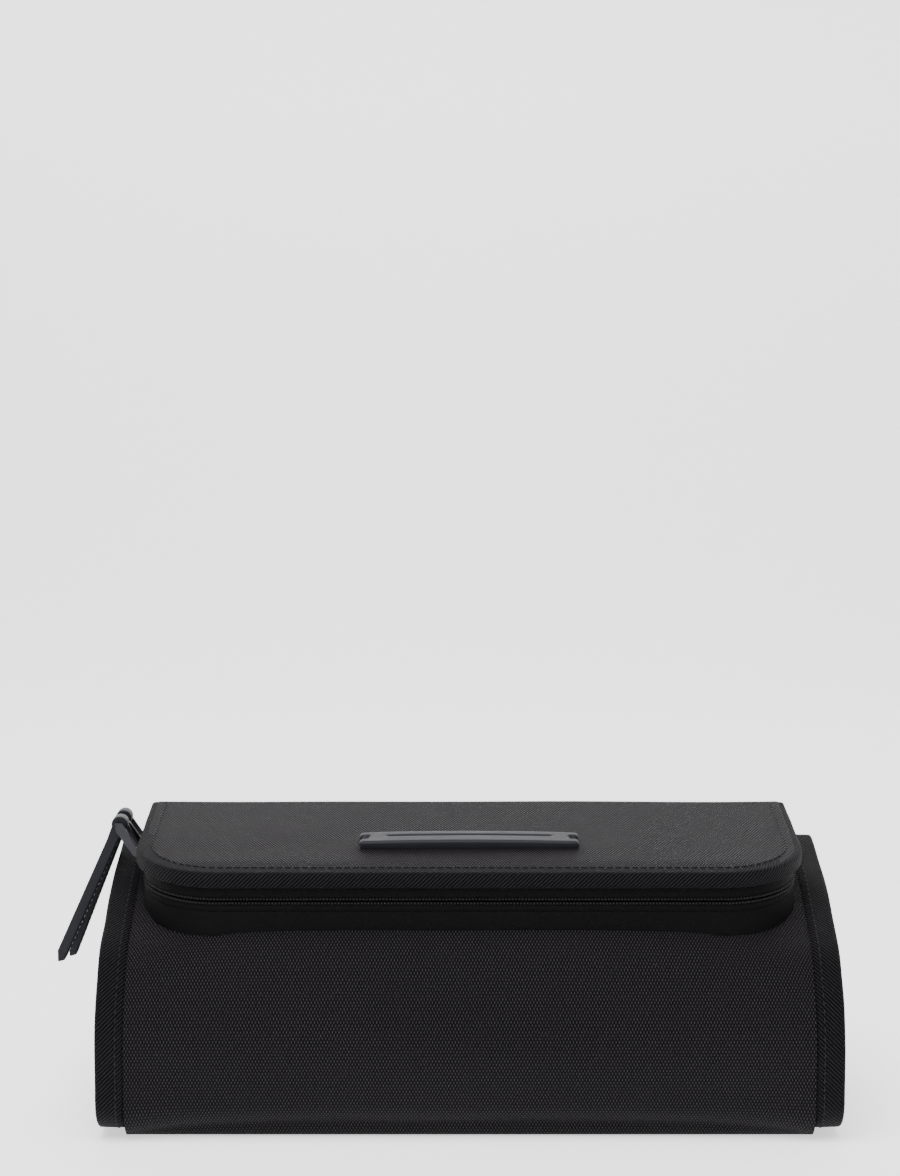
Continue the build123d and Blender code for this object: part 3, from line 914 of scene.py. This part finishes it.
def gathered_trim(name: str, half: float, y: float, low: float, high: float) -> bpy.types.Object:
    """Ribbed elastic edge, gathered along its length.

    Args:
        name: name of the piece.
        half: half its length.
        y: its depth.
        low: its lower edge.
        high: its upper edge.

    Returns:
        The piece.
    """
    rows = []
    for k in range(217):
        x = -half + 2 * half * k / 216
        wave = 0.25 * math.sin(x / 3.4)
        row = []
        for t in range(13):
            turn = 2 * math.pi * t / 12
            flat = math.copysign(abs(math.cos(turn)) ** 0.5, math.cos(turn))
            row.append(Vector((x, y + wave + 0.65 * flat, (low + high) / 2 + (high - low) / 2 * math.sin(turn))))
        rows.append(row)
    return grid_piece(name, rows, ELASTIC)


def zip_teeth(name: str, s: Shape, side: int, shift: float) -> bpy.types.Object:
    """One row of coil teeth round the mouth.

    Args:
        name: name of the piece.
        s: the bag's shape.
        side: 1 for the upper row, -1 for the lower.
        shift: offset along the zip, in millimetres.

    Returns:
        The row as one object.
    """
    path = s.u_path(s.mouth_half - 0.5, s.mouth_front + 0.5, s.mouth_back - 0.6, s.mouth_radius - 0.5, 1.25)
    out = normals_out(path, False)
    verts: list[Vector] = []
    faces: list[tuple[int, ...]] = []
    for i, ((x, y), normal) in enumerate(zip(path, out)):
        run = Vector((normal.y, -normal.x, 0))
        base = len(verts)
        face_out = Vector((-normal.x, -normal.y, 0))
        middle = Vector((x, y, s.zip_z(y) + side * 0.8)) + run * shift
        for deep in (-0.55, 0.55):
            for k in range(8):
                turn = 2 * math.pi * k / 8
                swell = face_out * (0.85 * math.cos(turn)) + Vector((0, 0, 0.62 * math.sin(turn)))
                verts.append(middle + swell + run * deep * 0.85)
        for k in range(8):
            faces.append((base + k, base + (k + 1) % 8, base + 8 + (k + 1) % 8, base + 8 + k))
        faces.append(tuple(base + k for k in reversed(range(8))))
        faces.append(tuple(base + 8 + k for k in range(8)))
    return make_piece(name, verts, faces, NYLON)


@dataclass
class Lid:
    """The padded lid: cloth, bound edge, upper half of the zip, grip bar and net pocket."""

    shape: Shape
    half: float = 128.0
    radius: float = 33.0
    thickness: float = 5.0
    cover: float = 6.5
    crown: float = 1.3
    body: str = "lid"

    def on_top(self, x: float, y: float, height: float) -> Vector:
        """Point on the lid, a height above its underside."""
        return Vector((x, y, self.shape.lid_z(y))) + self.shape.lid_up * height

    def rows(self, inset: float, height: Callable[[float, float], float]) -> list[Row]:
        """Rows that fill the lid's outline.

        Args:
            inset: distance inside the outline.
            height: height above the underside at (x, y).

        Returns:
            Rows from the front to the back.
        """
        s = self.shape
        front, radius, half = s.lid_front + inset, self.radius - inset, self.half - inset
        found = []
        for r in range(61):
            t = r / 60
            y = front + (s.lid_back - front) * (t ** 1.35)
            deep = min(1.0, (y - front) / radius)
            reach = half - radius + radius * math.sqrt(max(0.0, 1 - (1 - deep) ** 2))
            found.append([self.on_top(reach * math.sin(math.pi / 2 * k / 50), y, height(reach * k / 50, y))
                          for k in range(-50, 51)])
        return found

    def padding(self, x: float, y: float) -> float:
        """Height of the padded cloth over the underside."""
        s = self.shape
        edge = min(self.half - abs(x), y - s.lid_front, 14.0) / 14.0
        return self.thickness + self.crown * smooth(0, 1, edge) * 0.7 + ripple(Vector((x, y, 0)), 48, 0.35)

    def build_cloth(self) -> None:
        """Padded outer cloth and the lining under it."""
        rows = self.rows(0.6, self.padding)
        uvs = [[(p.x, p.y) for p in row] for row in rows]
        cloth = grid_piece("lid_cloth", rows, BALLISTIC, uvs=uvs)
        thicken(cloth, 1.3)
        place(cloth, self.body, BALLISTIC, "lid_panel")
        rows = self.rows(0.6, lambda x, y: 0.05)
        lining = grid_piece("lid_lining_cloth", rows, TAFFETA, flip=True)
        thicken(lining, 0.5, -1.0)
        place(lining, self.body, TAFFETA, "lid_lining")

    def build_binding(self) -> None:
        """Twill binding folded over the lid's edge, with its stitches."""
        s = self.shape
        path = s.u_path(self.half, s.lid_front, s.lid_back - 0.3, self.radius, 1.0)
        out = normals_out(path, False)
        high, low = self.thickness + 0.75, -0.55
        section = [(-self.cover, high - 0.75), (-self.cover, high - 0.1), (-self.cover + 0.5, high + 0.1), (-3.6, high + 0.15)]
        section += [(-1.6, high + 0.1)]
        section += [(-0.3 + 1.45 * math.sin(a), high - 1.4 + 1.45 * math.cos(a)) for a in (0.1, 0.6, 1.1, 1.5)]
        section += [(1.2, 2.6), (1.15, 1.4)]
        section += [(-0.3 + 1.45 * math.cos(a), low + 1.4 - 1.45 * math.sin(a)) for a in (0.1, 0.6, 1.1, 1.5)]
        section += [(-3.6, low), (-self.cover, low)]
        rows, thread = [], []
        for i, ((x, y), normal) in enumerate(zip(path, out)):
            wave = ripple(Vector((x, y, 500)), 15, 0.3)
            row = []
            for d, h in section:
                away = Vector((-normal.x, -normal.y))
                row.append(self.on_top(x + away.x * (d + wave * 0.4), y + away.y * (d + wave * 0.4), h + wave * 0.3))
            rows.append(row)
            away = Vector((-normal.x, -normal.y)) * -4.9
            thread.append(self.on_top(x + away.x, y + away.y, high + 0.28 + wave * 0.3))
        binding = grid_piece("lid_bound_edge", rows, TWILL, flip=True)
        place(binding, self.body, TWILL, "lid_binding")
        place(stitches("lid_bound_edge_stitches", thread, THREAD), self.body, THREAD)

    def build_zip(self) -> None:
        """Upper zip tape and its row of teeth."""
        s = self.shape
        helper = BagBody(s)
        rows = helper.band_rows(lambda y: s.zip_z(y) + 1.2, lambda y: s.lid_z(y) - 0.2, 0.1, 0.2, 5)
        tape = grid_piece("zip_tape_upper_cloth", rows, BAND, flip=True)
        thicken(tape, 0.7, -1.0)
        place(tape, self.body, BAND, "zip_tape_upper")
        place(zip_teeth("zip_coil_upper_teeth", s, 1, 0.62), self.body, NYLON, "zip_coil_upper")

    def build_bar(self) -> None:
        """Moulded grip bar with a shallow groove, notched ends and a slight bow."""
        length, width, height, middle = 85.0, 12.7, 3.6, -1.4
        rows = []
        for r in range(-1, 28):
            v = max(-1.0, min(1.0, (r - 13) / 13))
            row = []
            for c in range(-1, 124):
                u = max(-1.0, min(1.0, (c - 61) / 61))
                x = math.copysign(abs(u) ** 0.94, u) * length / 2
                y = v * width / 2
                rim = min(smooth(0, 1.3, length / 2 - abs(x)), smooth(0, 1.3, width / 2 - abs(y)))
                notch = smooth(length / 2 - 4.5, length / 2 - 2.5, abs(x)) * (1 - smooth(1.4, 2.6, abs(y)))
                groove = (1 - smooth(0.7, 1.3, abs(y - 0.8))) * (1 - smooth(31, 33, abs(x)))
                bow = 0.7 * (1 - (2 * x / length) ** 2)
                top = height + bow - 0.5 - 1.0 * (1 - math.sqrt(rim)) - 1.2 * notch - 0.45 * groove
                if r in (-1, 27) or c in (-1, 123):
                    top = 0.0
                squeeze = 1 - 0.05 * (2 * abs(x) / length) ** 6
                row.append(self.on_top(x, middle + y * squeeze, self.thickness + 0.55 + top))
            rows.append(row)
        bar = grid_piece("grip_bar_moulding", rows, RUBBER)
        place(bar, self.body, RUBBER, "grip_bar")

    def build_pocket(self) -> None:
        """Net pocket under the lid and its elastic edge."""
        half, front, back, depth = 99.5, -25.6, 1.6, 6.6
        rows = []
        for r in range(19):
            y = front + (back - front) * r / 18
            row = []
            for c in range(81):
                x = -half + 2 * half * c / 80
                edge = smooth(0, 6, half - abs(x)) * smooth(0, 5, y - front)
                sag = 0.3 * math.sin(x / 3.6) * smooth(-8, 2, y)
                row.append(self.on_top(x, y, -0.6 - (depth - 0.6) * edge + sag))
            rows.append(row)
        place(grid_piece("lid_pocket_net", rows, NET, flip=True), self.body, NET, "lid_pocket")
        rows = []
        for k in range(181):
            x = -91.5 + 183 * k / 180
            row = []
            for t in range(13):
                turn = 2 * math.pi * t / 12
                row.append(self.on_top(x, back - 3.0 + 2.9 * math.sin(turn), -depth - 0.35 - 0.42 * math.cos(turn)))
            rows.append(row)
        place(grid_piece("lid_pocket_elastic", rows, ELASTIC), self.body, ELASTIC, "lid_pocket_trim")


@dataclass
class BackFold:
    """Strip of cloth that joins the body to the lid."""

    shape: Shape
    half: float = 127.5

    def build(self) -> None:
        """One strip from the back wall up over the fold to the lid's edge."""
        rows = []
        heights = [92.0 + 17.2 * k / 22 for k in range(23)]
        for z in heights:
            row = []
            inward = 0.9 * smooth(99, 94, z) if z < 99 else 0.0
            for c in range(61):
                x = -self.half + 2 * self.half * c / 60
                y = 51.75 - 0.5 * smooth(105, 109.5, z) + inward * 0.2
                row.append(Vector((x, y, z)))
            rows.append(row)
        strip = grid_piece("back_fold_cloth", rows, BALLISTIC)
        thicken(strip, 0.8, -1.0)
        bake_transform(strip)
        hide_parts("hinge_strip_body", "hinge_strip_lid")
        LOG.info("back_fold_cloth bends between bag and lid")


@dataclass
class Pull:
    """A slim moulded pull that hangs from its slider's bail."""

    name: str
    y: float
    lean: float
    length: float = 61.5
    width: float = 7.0
    thickness: float = 4.2
    bar: Point2 = (-138.0, 108.0)

    def build(self) -> None:
        """Build the pull as a folded strip with a knuckle and a chamfered tail."""
        half = self.thickness / 2
        knuckle = [(3.2 * math.cos(a), 3.2 * math.sin(a)) for a in
                   (math.radians(d) for d in range(50, 311, 20))]
        outline = [*knuckle, (3.4, -half - 0.3), (7.5, -half), (self.length - 4.6, -half), (self.length - 0.4, -half + 1.9),
                   (self.length - 2.2, half), (7.5, half), (3.4, half + 0.3)]
        turn = math.radians(self.lean)
        along, across = Vector((-math.sin(turn), 0, -math.cos(turn))), Vector((math.cos(turn), 0, -math.sin(turn)))
        middle = Vector((self.bar[0], self.y, self.bar[1]))
        count = len(outline)
        verts = []
        for edge in (-1, 1):
            for a, b in outline:
                taper = 1 - 0.10 * smooth(self.length * 0.5, self.length, a)
                verts.append(middle + along * a + across * b + Vector((0, edge * self.width / 2 * taper, 0)))
        faces = [(i, (i + 1) % count, (i + 1) % count + count, i + count) for i in range(count)]
        faces += [tuple(range(count))[::-1], tuple(range(count, 2 * count))]
        piece = make_piece(f"{self.name}_strip", verts, faces, RUBBER)
        soften(piece, 0.7, 4)
        piece.data.shade_smooth()
        place(piece, self.name, RUBBER, self.name)
        inset = [middle + along * (9 + k * 1.2) + across * (half + 0.02) + Vector((0, w, 0))
                 for w in (-self.width / 2 + 1.3,) for k in range(40)]
        place(stitches(f"{self.name}_stitches", inset, THREAD, 1.6, 0.8, 0.18), self.name, THREAD)


CARRIED: dict[str, Cloth | Moulded] = {
    "base_board": BOARD, "back_board": BOARD, "lid_board": BOARD, "lid_foam": FOAM, "zip_stops": BLACK_METAL,
    "bar_posts": BLACK_METAL, "hook_patch": ELASTIC, "hook_bracket": HOOK_METAL, "bracket_rivets": HOOK_METAL,
    "fold_pin": HOOK_METAL, "hook_yoke": HOOK_METAL, "hook": HOOK_METAL, "slider_front": BLACK_METAL,
    "slider_rear": BLACK_METAL, "bail_front": BLACK_METAL, "bail_rear": BLACK_METAL,
}


def dress_carried() -> None:
    """Give every CAD piece that stays in sight its finish."""
    for name, finish in CARRIED.items():
        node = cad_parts[name]
        for index in range(max(1, len(node.material_slots))):
            if node.material_slots:
                node.material_slots[index].material = material_of(finish)
            else:
                node.data.materials.append(material_of(finish))
        LOG.info("%s keeps its CAD shape", name)


@dataclass
class Studio:
    """Pale floor, soft lights and the camera."""

    sensor_height: float = 24.0
    lens: float = 52.06
    tilt: float = 6.16
    camera_at: tuple[float, float, float] = (-0.0074, -0.977, 0.309)

    def build(self) -> None:
        """Make the floor, lights, world and camera."""
        span = 3.0
        rows = []
        profile = [(-span, 0.0), (0.9, 0.0)]
        profile += [(0.9 + 0.5 * math.sin(a), 0.5 - 0.5 * math.cos(a)) for a in (math.pi / 2 * k / 12 for k in range(1, 13))]
        profile += [(1.4, 2.4)]
        for y, z in profile:
            rows.append([Vector((x / MM, y / MM, z / MM - 0.1)) for x in (-span, 0.0, span)])
        floor = grid_piece("studio_floor", rows, Moulded("pale_floor", "floor", (0.9, 0.9, 0.9), 0.9), flip=True)
        floor.data.materials.clear()
        n = Nodes("pale_paper")
        n.shader.inputs["Base Color"].default_value = (0.93, 0.93, 0.93, 1)
        n.shader.inputs["Roughness"].default_value = 0.95
        n.shader.inputs["Specular IOR Level"].default_value = 0.0
        n.shader.inputs["Emission Color"].default_value = (1, 1, 1, 1)
        n.shader.inputs["Emission Strength"].default_value = 1.0
        floor.data.materials.append(n.material)
        world = bpy.data.worlds.new("studio_world")
        bpy.context.scene.world = world
        world.use_nodes = True
        world.node_tree.nodes["Background"].inputs[0].default_value = (1, 1, 1, 1)
        world.node_tree.nodes["Background"].inputs[1].default_value = 0.35
        self.light("key_light", (-0.2, -0.6, 1.4), 1.2, 36)
        self.light("fill_light", (0.9, -0.9, 0.9), 1.2, 2)
        self.light("back_light", (0.1, 0.75, 1.2), 1.2, 6)
        data = bpy.data.cameras.new("camera")
        data.sensor_fit = "VERTICAL"
        data.sensor_height = self.sensor_height
        data.lens = self.lens
        camera = bpy.data.objects.new("camera", data)
        camera.location = self.camera_at
        camera.rotation_euler = (math.radians(90 - self.tilt), 0, 0)
        bpy.context.scene.collection.objects.link(camera)
        bpy.context.scene.camera = camera

    def light(self, name: str, place_at: tuple[float, float, float], size: float, power: float) -> None:
        """Add a square soft light aimed at the bag.

        Args:
            name: its name.
            place_at: where it stands.
            size: edge length.
            power: watts.
        """
        data = bpy.data.lights.new(name, "AREA")
        data.size = size
        data.energy = power
        lamp = bpy.data.objects.new(name, data)
        lamp.location = place_at
        lamp.rotation_euler = (Vector((0, 0, 0.05)) - Vector(place_at)).to_track_quat("-Z", "Y").to_euler()
        bpy.context.scene.collection.objects.link(lamp)


def main() -> None:
    """Build the bag, its finishes and the studio."""
    logging.basicConfig(level=logging.INFO, format="%(message)s")
    shape = Shape()
    Studio().build()
    body = BagBody(shape)
    body.build_wrap()
    body.build_lining()
    for side in Side:
        body.build_end(side)
    body.build_mouth()
    body.build_pocket()
    lid = Lid(shape)
    lid.build_cloth()
    lid.build_binding()
    lid.build_zip()
    lid.build_bar()
    lid.build_pocket()
    BackFold(shape).build()
    Pull("pull_front", 18.0, 24.3).build()
    Pull("pull_rear", 31.0, 21.5).build()
    dress_carried()


if __name__ == "__main__":
    main()
